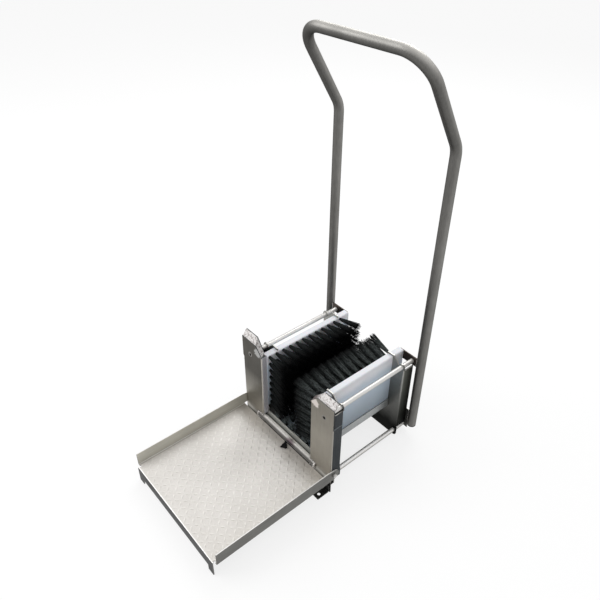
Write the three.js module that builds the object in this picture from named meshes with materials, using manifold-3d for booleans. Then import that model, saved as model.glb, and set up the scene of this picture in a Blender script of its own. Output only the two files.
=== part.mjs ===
// Hand-operated boot scrubber: a floor-standing stainless frame with two side brushes,
// a sole brush, a tall push handle and a checker-plate step that folds up on a hinge.
// Millimetres. +X is the user's right, +Y points away from the step, +Z is up.
// While the pieces are made, y = 0 is the front face of the guards and z = 0 the floor.

import * as THREE from 'three';
import * as BufferGeometryUtils from 'three/addons/utils/BufferGeometryUtils.js';
import Module from 'manifold-3d';

const wasm = await Module();
wasm.setup();

// Sheet, clearances and the smoothness of round work
const plateSheet = 3;
const guardSheet = 2.5;
const deckSheet = 2.5;
const seatGap = 0.3;
const runningGap = 0.5;
const cutOverrun = 5;
const bendRadius = 2;
const bendSteps = 4;
const roundSides = 20;
const curveSteps = 4;
const hexSides = 6;

// Frame: two cross plates tied together by four round rods
const frameDepth = 321;
const brushOpening = 194;
const frontPlateSetback = 54;
const rearPlateInset = 46;
const webHeight = 60;
const plateFootRadius = 9;
const frontFlangeDepth = 27;
const rearFlangeDepth = 33;
const flangeFloor = 36;
const flangeTop = 252;
const rodDiameter = 13;
const rodSpacing = 298.5;
const topRodHeight = 258;
const bottomRodHeight = 17;
const rodBoreDepth = 16;
const earRadius = 10.5;
const fingerHeight = 6;
const fingerRise = 2.5;
const fingerLength = 19;

// Brush blocks and their bristles
const sideBlockThickness = 20;
const sideBlockFloor = 92;
const sideBlockHeight = 182;
const blockFrontSetback = 18;
const blockEdgeRadius = 4;
const soleBlockWidth = 140;
const soleBlockFloor = 40;
const soleBlockHeight = 20;
const backingThickness = 2.4;
const backingMargin = 2;
const tuftFrontMargin = 8;
const tuftRearMargin = 35.4;
const tuftColumns = 12;
const sideTuftRows = 8;
const sideTuftMargin = 7;
const sideStrandLength = 72;
const sideStrandRadius = 2.3;
const strandSplit = 1.9;
const soleTuftRows = 5;
const soleTuftMargin = 12;
const soleStrandLength = 27;
const soleStrandRadius = 3.4;
const strandRoot = 1.1;
const strandSides = 3;
const soleStrandSides = 4;
const tipShare = 0.55;
const endFanShare = 0.14;
const topFanShare = 0.22;
const pairFanShare = 0.05;

// Ledge rails that carry the side blocks
const railSheet = 2.5;
const railHeight = 26;

// Front guards, their flared tops and the bar and web between them
const guardWidth = 83.5;
const guardSetout = 2;
const guardHeight = 304;
const guardShoulder = 276;
const guardChamfer = 25;
const guardOuterFlange = 30;
const guardFlangeTop = 237;
const guardFlangeFloor = 50;
const guardInnerFloor = 66;
const flareDepth = 15;
const flareRise = 16;
const flareInset = 10;
const flareStart = 2;
const flareCornerShare = 0.8;
const flareCornerInset = 4;
const frontWebSetback = 14.5;
const frontWebFloor = 26;
const frontWebCrest = 75;
const frontBarDiameter = 18;
const frontBarWall = 2;
const frontBarLength = 242;
const frontBarSetback = 4;
const frontBarHeight = 52;

// Handle: one tube bent four times, held to the rods by brackets
const handleDiameter = 25;
const handleWall = 2;
const handleFoot = 33;
const handleBendHeight = 861;
const handleLean = 128;
const handleRise = 204;
const handleBendRadius = 60;
const handleCornerRadius = 68;
const handleBendSteps = 5;
const handlePlugDepth = 14;
const handlePlugFlange = 3;
const handleGap = 4.75;

// Brackets that tie the handle legs to the rods and close the rear ends of the brushes
const bracketHalfHeight = 14;
const bracketLap = 13;
const rearWebFloor = 8;
const rearWebGusset = 80;
const rearWebGussetWidth = 22;

// Folding step: a checker-plate tray with upturned sides and a turned-down front
const stepLength = 352;
const stepRearGap = 7;
const stepTop = 48.7;
const stepSideHeight = 38.5;
const stepSideSetback = 7;
const stepApronInset = 10.5;
const stepApronLap = 14;
const stepFootWidth = 21;
const stepApronFloor = 18;
const stepReliefRadius = 3;
const hingeSetback = 9;
const hingeHeight = 68;
const hingeEarRadius = 17;
const hingeEarRun = 40;

// Hinge bolts and nuts, frame screws, floor lugs and the step buffer
const hingeBoltDiameter = 6;
const hingeHeadDiameter = 12;
const hingeHeadHeight = 5;
const hingeNutFlats = 10;
const hingeNutHeight = 5;
const screwHeadDiameter = 12.6;
const screwShankDiameter = 6;
const screwLength = 15;
const screwHeadDepth = 2.2;
const screwSocketFlats = 4;
const screwSocketDepth = 1.4;
const rearHeadHeight = 3.3;
const lugSheet = 3;
const lugWidth = 22;
const lugInset = 3.5;
const lugReach = 39;
const lugRise = 26;
const lugHoleDiameter = 9;
const lugHoleSetout = 26;
const bufferWidth = 24;
const bufferDepth = 18;
const bufferHeight = 9;
const bufferOffset = 15;
const bufferInset = 2;
const bufferTopWidth = 15;

// Places that several pieces share
const brushFaceX = brushOpening / 2;
const blockBackX = brushFaceX + sideBlockThickness;
const sideBlockTop = sideBlockFloor + sideBlockHeight;
const postX = blockBackX + seatGap;
const rodX = rodSpacing / 2;
const rodRadius = rodDiameter / 2;
const frameX = rodX + earRadius;
const bracketFront = frameDepth - plateSheet;
const rearPlateSetback = frameDepth - rearPlateInset;
const blockLength = bracketFront - seatGap - blockFrontSetback;
const tuftFirstRow = blockFrontSetback + tuftFrontMargin;
const tuftPitch = (blockLength - tuftFrontMargin - tuftRearMargin) / (tuftColumns - 1);
const soleBlockTop = soleBlockFloor + soleBlockHeight;
const guardInnerX = brushFaceX + guardSetout;
const guardOuterX = guardInnerX + guardWidth;
const handleRadius = handleDiameter / 2;
const handleX = frameX + handleGap + handleRadius;
const stepInnerX = guardOuterX + runningGap;
const stepOuterX = stepInnerX + deckSheet;
const stepFront = -stepRearGap - stepLength;
const stepSideTop = stepTop + stepSideHeight;
const originY = (stepFront + frameDepth + handleRadius) / 2;

// Finishes
const steel = { color: 0x8a867b, roughness: 0.38, metalness: 0.9 };
const handleSteel = { color: 0x7d7d74, roughness: 0.42, metalness: 0.9 };
const checkerSteel = { color: 0xb9b5ac, roughness: 0.45, metalness: 0.85 };
const brightSteel = { color: 0xa6a49c, roughness: 0.25, metalness: 0.95 };
const whitePlastic = { color: 0xeeeff2, roughness: 0.5, metalness: 0 };
const blackBristle = { color: 0x141517, roughness: 0.6, metalness: 0 };
const blackRubber = { color: 0x101010, roughness: 0.8, metalness: 0 };

const scrubber = new THREE.Group();

function addPiece(name, geometry, finish) {
  geometry.computeVertexNormals();
  const mesh = new THREE.Mesh(geometry, new THREE.MeshStandardMaterial(finish));
  mesh.name = name;
  scrubber.add(mesh);
}

// Closed meshes become solids for joining and cutting, and come back as meshes
function solidOf(geometry) {
  const bare = geometry.clone();
  bare.deleteAttribute('normal');
  bare.deleteAttribute('uv');
  const merged = BufferGeometryUtils.mergeVertices(bare);
  return new wasm.Manifold(new wasm.Mesh({
    numProp: 3,
    vertProperties: merged.attributes.position.array,
    triVerts: Uint32Array.from(merged.index.array),
  }));
}

function meshOf(solid) {
  const mesh = solid.getMesh();
  const geometry = new THREE.BufferGeometry();
  geometry.setAttribute('position', new THREE.BufferAttribute(mesh.vertProperties, 3));
  geometry.setIndex(new THREE.BufferAttribute(mesh.triVerts, 1));
  return geometry;
}

function fuse(first, ...others) {
  return meshOf(others.reduce((sum, next) => sum.add(solidOf(next)), solidOf(first)));
}

function carve(base, ...tools) {
  return meshOf(tools.reduce((rest, tool) => rest.subtract(solidOf(tool)), solidOf(base)));
}

// The same piece on the other side of the frame, with its faces turned back outwards
function mirrored(geometry) {
  const copy = geometry.clone();
  copy.scale(-1, 1, 1);
  const corners = copy.index.array;
  for (let i = 0; i < corners.length; i += 3) {
    [corners[i], corners[i + 1]] = [corners[i + 1], corners[i]];
  }
  return copy;
}

function addPair(name, rightPiece, finish) {
  addPiece(`${name}_right`, rightPiece, finish);
  addPiece(`${name}_left`, mirrored(rightPiece), finish);
}

// Flat work: an outline in X and Z, made thick along +Y from y
function acrossY(outline, y, thickness) {
  const geometry = new THREE.ExtrudeGeometry(outline, {
    depth: thickness, bevelEnabled: false, curveSegments: curveSteps,
  });
  geometry.rotateX(Math.PI / 2);
  geometry.translate(0, y + thickness, 0);
  return BufferGeometryUtils.mergeVertices(geometry);
}

// Flat work: an outline in Y and Z, made thick along +X from x
const outlineToX = new THREE.Matrix4().makeBasis(
  new THREE.Vector3(0, 1, 0), new THREE.Vector3(0, 0, 1), new THREE.Vector3(1, 0, 0),
);

function acrossX(outline, x, thickness) {
  const geometry = new THREE.ExtrudeGeometry(outline, {
    depth: thickness, bevelEnabled: false, curveSegments: curveSteps,
  });
  geometry.applyMatrix4(outlineToX);
  geometry.translate(x, 0, 0);
  return BufferGeometryUtils.mergeVertices(geometry);
}

// Flat work: an outline in X and Y, made thick along +Z from z
function acrossZ(outline, z, thickness) {
  const geometry = new THREE.ExtrudeGeometry(outline, {
    depth: thickness, bevelEnabled: false, curveSegments: curveSteps,
  });
  geometry.translate(0, 0, z);
  return BufferGeometryUtils.mergeVertices(geometry);
}

function box(x0, x1, y0, y1, z0, z1) {
  const geometry = new THREE.BoxGeometry(x1 - x0, y1 - y0, z1 - z0);
  geometry.translate((x0 + x1) / 2, (y0 + y1) / 2, (z0 + z1) / 2);
  return geometry;
}

function barAlongY(radius, x, z, y0, y1, sides = roundSides) {
  const geometry = new THREE.CylinderGeometry(radius, radius, y1 - y0, sides);
  geometry.translate(x, (y0 + y1) / 2, z);
  return geometry;
}

function barAlongX(radius, y, z, x0, x1, sides = roundSides) {
  const geometry = new THREE.CylinderGeometry(radius, radius, x1 - x0, sides);
  geometry.rotateZ(Math.PI / 2);
  geometry.translate((x0 + x1) / 2, y, z);
  return geometry;
}

function barAlongZ(radius, x, y, z0, z1, sides = roundSides) {
  const geometry = new THREE.CylinderGeometry(radius, radius, z1 - z0, sides);
  geometry.rotateX(Math.PI / 2);
  geometry.translate(x, y, (z0 + z1) / 2);
  return geometry;
}

function outlineOf(points) {
  return new THREE.Shape(points.map(([u, v]) => new THREE.Vector2(u, v)));
}

// The line beside a chain of straight runs, at a distance to its left
function offsetChain(points, distance) {
  const runs = points.slice(1).map((point, i) => (
    new THREE.Vector2().subVectors(point, points[i]).normalize()
  ));
  return points.map((point, i) => {
    const before = runs[Math.max(i - 1, 0)];
    const after = runs[Math.min(i, runs.length - 1)];
    const normal = new THREE.Vector2(-before.y - after.y, before.x + after.x).normalize();
    const stretch = normal.x * -after.y + normal.y * after.x;
    return point.clone().addScaledVector(normal, distance / stretch);
  });
}

// A chain of straight runs with its corners rounded, larger on the outside of each bend
function roundChain(points, innerRadius, thickness, bendsOutward) {
  const rounded = [points[0]];
  for (let i = 1; i < points.length - 1; i += 1) {
    const before = new THREE.Vector2().subVectors(points[i], points[i - 1]).normalize();
    const after = new THREE.Vector2().subVectors(points[i + 1], points[i]).normalize();
    const turn = Math.atan2(before.cross(after), before.dot(after));
    const radius = (turn > 0) === bendsOutward ? innerRadius + thickness : innerRadius;
    const tangent = radius * Math.tan(Math.abs(turn) / 2);
    const start = points[i].clone().addScaledVector(before, -tangent);
    const side = new THREE.Vector2(-before.y, before.x).multiplyScalar(Math.sign(turn));
    for (let step = 0; step <= bendSteps; step += 1) {
      const angle = Math.abs(turn) * step / bendSteps;
      rounded.push(start.clone()
        .addScaledVector(before, radius * Math.sin(angle))
        .addScaledVector(side, radius * (1 - Math.cos(angle))));
    }
  }
  rounded.push(points[points.length - 1]);
  return rounded;
}

// Section of a bent sheet: its outer face follows the points, its thickness lies to their left
function bentSheet(corners, thickness) {
  const face = corners.map(([u, v]) => new THREE.Vector2(u, v));
  const outer = roundChain(face, bendRadius, thickness, true);
  const inner = roundChain(offsetChain(face, thickness), bendRadius, thickness, false);
  return new THREE.Shape([...outer, ...inner.reverse()]);
}

// A ring of points carried through several places, closed at both ends, faces outwards
function loft(rings) {
  const count = rings[0].length;
  const corners = [];
  for (let r = 0; r < rings.length - 1; r += 1) {
    for (let i = 0; i < count; i += 1) {
      const a = r * count + i;
      const b = r * count + (i + 1) % count;
      corners.push([a, b, b + count], [a, b + count, a + count]);
    }
  }
  const last = (rings.length - 1) * count;
  for (let i = 1; i < count - 1; i += 1) {
    corners.push([0, i + 1, i], [last, last + i, last + i + 1]);
  }
  const points = rings.flat();
  const volume = corners.reduce((sum, [a, b, c]) => (
    sum + points[a].dot(new THREE.Vector3().crossVectors(points[b], points[c]))
  ), 0);
  const outward = volume < 0 ? corners.map(([a, b, c]) => [a, c, b]) : corners;
  const geometry = new THREE.BufferGeometry().setFromPoints(points);
  geometry.setIndex(outward.flat());
  return geometry;
}

// Outer corner of a bend: what is cut from a square upright edge to round it
function bendCorner(x, y, towardX, towardY, radius, z0, z1) {
  const centreX = x - towardX * radius;
  const centreY = y - towardY * radius;
  const farX = x + towardX * cutOverrun;
  const farY = y + towardY * cutOverrun;
  const block = box(
    Math.min(centreX, farX), Math.max(centreX, farX),
    Math.min(centreY, farY), Math.max(centreY, farY), z0, z1,
  );
  return carve(block, barAlongZ(radius, centreX, centreY, z0 - cutOverrun, z1 + cutOverrun));
}

// Cross plates: each is a U around the boot room, with a shelf under each side block and a
// finger over it, a notch for the sole block and an ear round each top rod. Their outer
// edges are bent away from the brushes into side flanges.
function crossPlateOutline() {
  const shelfZ = sideBlockFloor - seatGap;
  const fingerZ = sideBlockTop + seatGap;
  const notchX = soleBlockWidth / 2 + seatGap;
  const notchZ = soleBlockFloor - seatGap;
  const shelfX = brushFaceX - seatGap;
  const half = [
    [rodX - earRadius, topRodHeight + fingerRise],
    [postX + plateSheet, fingerZ + fingerHeight],
    [postX - fingerLength, fingerZ + fingerHeight],
    [postX - fingerLength, fingerZ],
    [postX, fingerZ],
    [postX, shelfZ],
    [shelfX, shelfZ],
    [shelfX, webHeight],
    [notchX, webHeight],
    [notchX, notchZ],
  ];
  const outline = new THREE.Shape();
  outline.moveTo(0, 0);
  outline.lineTo(frameX - plateFootRadius, 0);
  outline.absarc(frameX - plateFootRadius, plateFootRadius, plateFootRadius, -Math.PI / 2, 0);
  outline.lineTo(frameX, topRodHeight);
  outline.absarc(rodX, topRodHeight, earRadius, 0, Math.PI);
  half.forEach(([x, z]) => outline.lineTo(x, z));
  outline.lineTo(0, notchZ);
  return outline;
}

function rodHoles(y, thickness) {
  const holes = [];
  for (const side of [-1, 1]) {
    for (const z of [topRodHeight, bottomRodHeight]) {
      const radius = rodRadius + seatGap;
      holes.push(barAlongY(radius, side * rodX, z, y - cutOverrun, y + thickness + cutOverrun));
    }
  }
  return holes;
}

function crossPlate(y, flangeDepth, toward) {
  const right = acrossY(crossPlateOutline(), y, plateSheet);
  const faceY = toward > 0 ? y : y + plateSheet;
  const tipY = faceY + toward * (plateSheet + flangeDepth);
  const flange = box(
    frameX - plateSheet, frameX,
    Math.min(faceY, tipY), Math.max(faceY, tipY), flangeFloor, flangeTop,
  );
  const corner = bendCorner(frameX, faceY, 1, -toward, bendRadius + plateSheet,
    flangeFloor, flangeTop);
  const half = carve(fuse(right, flange), corner);
  return carve(fuse(half, mirrored(half)), ...rodHoles(y, plateSheet));
}

addPiece('front_plate', crossPlate(frontPlateSetback, frontFlangeDepth, -1), steel);
addPiece('rear_plate', crossPlate(rearPlateSetback, rearFlangeDepth, 1), steel);

// Round rods with a threaded bore in each end, from the guards to the rear brackets
const rodStart = guardSheet + seatGap;
const rodEnd = bracketFront - seatGap;
const boreRadius = screwShankDiameter / 2 + seatGap;

function frameRod(z) {
  const length = rodEnd - rodStart;
  const profile = [
    [0, rodBoreDepth], [boreRadius, rodBoreDepth], [boreRadius, 0], [rodRadius, 0],
    [rodRadius, length], [boreRadius, length], [boreRadius, length - rodBoreDepth],
    [0, length - rodBoreDepth],
  ].map(([radius, y]) => new THREE.Vector2(radius, y));
  const geometry = new THREE.LatheGeometry(profile, roundSides);
  geometry.translate(rodX, rodStart, z);
  return meshOf(solidOf(geometry));
}

addPair('top_rod', frameRod(topRodHeight), brightSteel);
addPair('bottom_rod', frameRod(bottomRodHeight), brightSteel);

// Guards: channels open to the rear, with a chamfered inner corner and a flared top edge
const countersinkRadius = screwHeadDiameter / 2;

function guardFlare() {
  const along = [
    [guardInnerX, guardShoulder, flareCornerInset, flareCornerShare],
    [guardInnerX + guardChamfer, guardHeight, flareInset, 1],
    [guardOuterX, guardHeight, 0, 1],
  ];
  return loft(along.map(([x, z, inset, share]) => {
    const foot = new THREE.Vector3(x, 0, z - flareStart);
    const lip = new THREE.Vector3(x + inset, flareDepth * share, z + flareRise * share);
    const behind = new THREE.Vector3(0, guardSheet, 0);
    return [foot, foot.clone().add(behind), lip.clone().add(behind), lip];
  }));
}

function guard() {
  const section = bentSheet([
    [guardInnerX, blockFrontSetback - seatGap], [guardInnerX, 0],
    [guardOuterX, 0], [guardOuterX, guardOuterFlange],
  ], guardSheet);
  const channel = acrossZ(section, 0, guardFlangeTop);
  const innerEdge = acrossZ(bentSheet([
    [guardInnerX, blockFrontSetback - seatGap], [guardInnerX, 0],
    [guardInnerX + guardChamfer, 0],
  ], guardSheet), guardFlangeTop - cutOverrun, guardShoulder - guardFlangeTop + cutOverrun);
  const head = acrossY(outlineOf([
    [guardInnerX + bendRadius + guardSheet, guardFlangeTop - cutOverrun],
    [guardOuterX - bendRadius - guardSheet, guardFlangeTop - cutOverrun],
    [guardOuterX, guardFlangeTop],
    [guardOuterX, guardHeight],
    [guardInnerX + guardChamfer, guardHeight],
    [guardInnerX, guardShoulder],
    [guardInnerX + bendRadius + guardSheet, guardShoulder - bendRadius - guardSheet],
  ]), 0, guardSheet);
  const belowFlange = box(
    guardOuterX - guardSheet - cutOverrun, guardOuterX + cutOverrun,
    guardSheet, guardOuterFlange + cutOverrun, -cutOverrun, guardFlangeFloor,
  );
  const barRoom = box(
    guardInnerX - cutOverrun, frontBarLength / 2 + seatGap,
    -cutOverrun, blockFrontSetback + cutOverrun, -cutOverrun, guardInnerFloor,
  );
  const tools = [belowFlange, barRoom];
  for (const z of [topRodHeight, bottomRodHeight]) {
    const sink = new THREE.CylinderGeometry(
      boreRadius, countersinkRadius + seatGap, screwHeadDepth, roundSides,
    );
    sink.translate(rodX, screwHeadDepth / 2, z);
    tools.push(sink, barAlongY(boreRadius, rodX, z, -cutOverrun, guardSheet + cutOverrun));
  }
  tools.push(barAlongX(hingeBoltDiameter / 2 + seatGap, hingeSetback, hingeHeight,
    guardOuterX - guardSheet - cutOverrun, guardOuterX + cutOverrun));
  return carve(fuse(channel, innerEdge, head, guardFlare()), ...tools);
}

addPair('front_guard', guard(), steel);

// Web and bar between the guards: the web reaches behind both guards and stands higher
// between them, where it stops the sole block; the bar ties the feet
const webX = guardOuterX - guardSheet - seatGap;
const webCrestX = guardInnerX - seatGap;
const webShoulder = webHeight + seatGap;
addPiece('front_web', acrossY(outlineOf([
  [-webX, frontWebFloor], [webX, frontWebFloor], [webX, webShoulder], [webCrestX, webShoulder],
  [webCrestX, frontWebCrest], [-webCrestX, frontWebCrest], [-webCrestX, webShoulder],
  [-webX, webShoulder],
]), frontWebSetback, guardSheet), steel);

function frontBar() {
  const outer = frontBarDiameter / 2;
  const inner = outer - frontBarWall;
  const half = frontBarLength / 2;
  const tube = barAlongX(outer, frontBarSetback, frontBarHeight, -half, half);
  return carve(tube, barAlongX(inner, frontBarSetback, frontBarHeight,
    -half - cutOverrun, half + cutOverrun));
}

addPiece('front_bar', frontBar(), brightSteel);

// Handle: a path of straight runs and true bends, with a ring only where it turns
class BentPath extends THREE.Curve {
  constructor(corners, radii) {
    super();
    const direct = (from, to) => new THREE.Vector3().subVectors(to, from).normalize();
    this.stations = [{ point: corners[0], tangent: direct(corners[0], corners[1]) }];
    for (let i = 1; i < corners.length - 1; i += 1) {
      const before = direct(corners[i - 1], corners[i]);
      const after = direct(corners[i], corners[i + 1]);
      const turn = before.angleTo(after);
      const side = after.clone().addScaledVector(before, -before.dot(after)).normalize();
      const start = corners[i].clone().addScaledVector(before, -radii[i] * Math.tan(turn / 2));
      for (let step = 0; step <= handleBendSteps; step += 1) {
        const angle = turn * step / handleBendSteps;
        this.stations.push({
          point: start.clone()
            .addScaledVector(before, radii[i] * Math.sin(angle))
            .addScaledVector(side, radii[i] * (1 - Math.cos(angle))),
          tangent: before.clone().multiplyScalar(Math.cos(angle))
            .addScaledVector(side, Math.sin(angle)),
        });
      }
    }
    const end = corners[corners.length - 1];
    this.stations.push({ point: end, tangent: direct(corners[corners.length - 2], end) });
  }

  station(share) {
    return this.stations[Math.round(share * (this.stations.length - 1))];
  }

  getPointAt(share) {
    return this.station(share).point.clone();
  }

  getTangentAt(share) {
    return this.station(share).tangent.clone();
  }
}

function tubeSection(outer, inner) {
  const section = new THREE.Shape().absarc(0, 0, outer, 0, Math.PI * 2);
  section.holes.push(new THREE.Path().absarc(0, 0, inner, 0, Math.PI * 2, true));
  return section;
}

function handle() {
  const topY = frameDepth - handleLean;
  const topZ = handleBendHeight + handleRise;
  const corners = [
    [-handleX, frameDepth, handleFoot], [-handleX, frameDepth, handleBendHeight],
    [-handleX, topY, topZ], [handleX, topY, topZ],
    [handleX, frameDepth, handleBendHeight], [handleX, frameDepth, handleFoot],
  ].map((corner) => new THREE.Vector3(...corner));
  const radii = [0, handleBendRadius, handleCornerRadius, handleCornerRadius, handleBendRadius];
  const path = new BentPath(corners, radii);
  const geometry = new THREE.ExtrudeGeometry(tubeSection(handleRadius, handleRadius - handleWall), {
    steps: path.stations.length - 1, extrudePath: path, curveSegments: roundSides / 2,
  });
  return BufferGeometryUtils.mergeVertices(geometry);
}

addPiece('handle_tube', handle(), handleSteel);

function legPlug() {
  const bore = handleRadius - handleWall - seatGap;
  const profile = [
    [0, -handlePlugFlange - seatGap], [handleRadius, -handlePlugFlange - seatGap],
    [handleRadius, -seatGap], [bore, -seatGap], [bore, handlePlugDepth], [0, handlePlugDepth],
  ].map(([radius, height]) => new THREE.Vector2(radius, height));
  const geometry = new THREE.LatheGeometry(profile, roundSides);
  geometry.rotateX(Math.PI / 2);
  geometry.translate(handleX, frameDepth, handleFoot);
  return meshOf(solidOf(geometry));
}

addPair('leg_plug', legPlug(), blackRubber);

// Rear brackets and web: saddled onto the handle legs, bored for the rod screws
function legSaddle() {
  return barAlongZ(handleRadius + seatGap, handleX, frameDepth, -cutOverrun, handleBendHeight);
}

function rearScrewHole(z) {
  return barAlongY(boreRadius, rodX, z, bracketFront - cutOverrun, frameDepth + cutOverrun);
}

function legBracket() {
  const plate = box(blockBackX - bracketLap, handleX, bracketFront, frameDepth,
    topRodHeight - bracketHalfHeight, topRodHeight + bracketHalfHeight);
  return carve(plate, legSaddle(), rearScrewHole(topRodHeight));
}

function rearWeb() {
  const half = acrossY(outlineOf([
    [0, rearWebFloor], [handleX, rearWebFloor], [handleX, rearWebGusset],
    [handleX - rearWebGussetWidth, rearWebGusset],
    [handleX - rearWebGussetWidth * 2, webHeight], [0, webHeight],
  ]), bracketFront, plateSheet);
  const bored = carve(half, legSaddle(), rearScrewHole(bottomRodHeight));
  return fuse(bored, mirrored(bored));
}

addPair('leg_bracket', legBracket(), steel);
addPiece('rear_web', rearWeb(), steel);

// Frame screws: countersunk in the guards, raised heads behind the brackets
function socket(depthFrom) {
  const cutter = new THREE.CylinderGeometry(
    screwSocketFlats / Math.sqrt(3), screwSocketFlats / Math.sqrt(3), screwSocketDepth * 2,
    hexSides,
  );
  cutter.translate(0, depthFrom, 0);
  return cutter;
}

function turned(profile, cutter) {
  const points = profile.map(([radius, y]) => new THREE.Vector2(radius, y));
  return carve(new THREE.LatheGeometry(points, roundSides), cutter);
}

function addScrews(name, screw, y, turn) {
  for (const [level, z] of [['top', topRodHeight], ['bottom', bottomRodHeight]]) {
    const copy = screw.clone();
    copy.rotateZ(turn);
    copy.translate(rodX, y, z);
    addPair(`${name}_${level}`, copy, brightSteel);
  }
}

const shankRadius = screwShankDiameter / 2;
const countersunkScrew = turned([
  [0, 0], [countersinkRadius, 0], [shankRadius, screwHeadDepth], [shankRadius, screwLength],
  [0, screwLength],
], socket(0));
const raisedScrew = turned([
  [0, -rearHeadHeight], [countersinkRadius, -rearHeadHeight], [countersinkRadius, 0],
  [shankRadius, 0], [shankRadius, screwLength], [0, screwLength],
], socket(-rearHeadHeight));
addScrews('guard_screw', countersunkScrew, 0, 0);
addScrews('rear_screw', raisedScrew, frameDepth + seatGap, Math.PI);

// Rails: angle strips between the cross plates that carry the side blocks
function sideRail() {
  const top = sideBlockFloor - seatGap;
  const section = bentSheet([
    [brushFaceX - seatGap, top - railSheet], [postX + railSheet, top - railSheet],
    [postX + railSheet, top + railHeight],
  ], railSheet);
  const start = frontPlateSetback + plateSheet + seatGap;
  return acrossY(section, start, rearPlateSetback - seatGap - start);
}

addPair('side_rail', sideRail(), brightSteel);

// Brush blocks: white plastic bars with rounded long edges
function blockBar(x0, x1, z0, z1) {
  const radius = blockEdgeRadius;
  const outline = new THREE.Shape();
  outline.moveTo(x0 + radius, z0);
  outline.lineTo(x1 - radius, z0);
  outline.absarc(x1 - radius, z0 + radius, radius, -Math.PI / 2, 0);
  outline.lineTo(x1, z1 - radius);
  outline.absarc(x1 - radius, z1 - radius, radius, 0, Math.PI / 2);
  outline.lineTo(x0 + radius, z1);
  outline.absarc(x0 + radius, z1 - radius, radius, Math.PI / 2, Math.PI);
  outline.lineTo(x0, z0 + radius);
  outline.absarc(x0 + radius, z0 + radius, radius, Math.PI, Math.PI * 1.5);
  return acrossY(outline, blockFrontSetback, blockLength);
}

addPair('side_block', blockBar(brushFaceX, blockBackX, sideBlockFloor, sideBlockTop), whitePlastic);
addPiece('sole_block', blockBar(
  -soleBlockWidth / 2, soleBlockWidth / 2, soleBlockFloor, soleBlockTop,
), whitePlastic);

// Bristles: tapered strands that fan out towards the ends and the top of each brush,
// standing on a thin backing that lies against the block
function strand(foot, lean, across, up, length, radius, sides) {
  const ring = (centre, size) => Array.from({ length: sides }, (_, i) => {
    const angle = i / sides * Math.PI * 2;
    return centre.clone()
      .addScaledVector(across, size * Math.sin(angle))
      .addScaledVector(up, size * Math.cos(angle));
  });
  return loft([
    ring(foot.clone().addScaledVector(lean, -strandRoot), radius),
    ring(foot.clone().addScaledVector(lean, length), radius * tipShare),
  ]);
}

const axisX = new THREE.Vector3(1, 0, 0);
const axisY = new THREE.Vector3(0, 1, 0);
const axisZ = new THREE.Vector3(0, 0, 1);

function sideBristles() {
  const backX = brushFaceX - seatGap;
  const faceX = backX - backingThickness;
  const rowMargin = blockEdgeRadius + sideTuftMargin;
  const rowPitch = (sideBlockHeight - rowMargin * 2) / (sideTuftRows - 1);
  const strands = [];
  for (let column = 0; column < tuftColumns; column += 1) {
    const alongShare = column / (tuftColumns - 1) * 2 - 1;
    for (let row = 0; row < sideTuftRows; row += 1) {
      const upShare = row / (sideTuftRows - 1);
      for (const pair of [-1, 1]) {
        const foot = new THREE.Vector3(
          faceX, tuftFirstRow + column * tuftPitch + pair * strandSplit,
          sideBlockFloor + rowMargin + row * rowPitch + pair * strandSplit,
        );
        const lean = new THREE.Vector3(
          -1, alongShare ** 3 * endFanShare + pair * pairFanShare,
          upShare ** 4 * topFanShare + pair * pairFanShare,
        );
        strands.push(
          strand(foot, lean, axisY, axisZ, sideStrandLength, sideStrandRadius, strandSides),
        );
      }
    }
  }
  const backing = box(faceX, backX, blockFrontSetback + backingMargin,
    blockFrontSetback + blockLength - backingMargin,
    sideBlockFloor + blockEdgeRadius, sideBlockTop - blockEdgeRadius);
  return fuse(backing, BufferGeometryUtils.mergeGeometries(strands));
}

function soleBristles() {
  const floorZ = soleBlockTop + seatGap;
  const faceZ = floorZ + backingThickness;
  const rowPitch = (soleBlockWidth - soleTuftMargin * 2) / (soleTuftRows - 1);
  const strands = [];
  for (let column = 0; column < tuftColumns; column += 1) {
    const alongShare = column / (tuftColumns - 1) * 2 - 1;
    for (let row = 0; row < soleTuftRows; row += 1) {
      const foot = new THREE.Vector3(
        row * rowPitch - soleBlockWidth / 2 + soleTuftMargin,
        tuftFirstRow + column * tuftPitch, faceZ,
      );
      const lean = new THREE.Vector3(0, alongShare ** 3 * endFanShare, 1);
      strands.push(
        strand(foot, lean, axisX, axisY, soleStrandLength, soleStrandRadius, soleStrandSides),
      );
    }
  }
  const halfX = soleBlockWidth / 2 - blockEdgeRadius;
  const backing = box(-halfX, halfX, blockFrontSetback + backingMargin,
    blockFrontSetback + blockLength - backingMargin, floorZ, faceZ);
  return fuse(backing, BufferGeometryUtils.mergeGeometries(strands));
}

addPair('side_bristles', sideBristles(), blackBristle);
addPiece('sole_bristles', soleBristles(), blackBristle);

// Step: a tray bent from checker plate. The sides stop short of the front corners, where the
// bends are relieved, and run on at the rear into round ears on the hinge bolts.
function stepEar() {
  const outline = new THREE.Shape();
  outline.moveTo(hingeSetback - hingeEarRun, stepTop);
  outline.lineTo(hingeSetback, hingeHeight - hingeEarRadius);
  outline.absarc(hingeSetback, hingeHeight, hingeEarRadius, -Math.PI / 2, Math.PI / 2);
  outline.lineTo(hingeSetback - hingeEarRun, stepSideTop);
  return acrossX(outline, stepInnerX, deckSheet);
}

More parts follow.
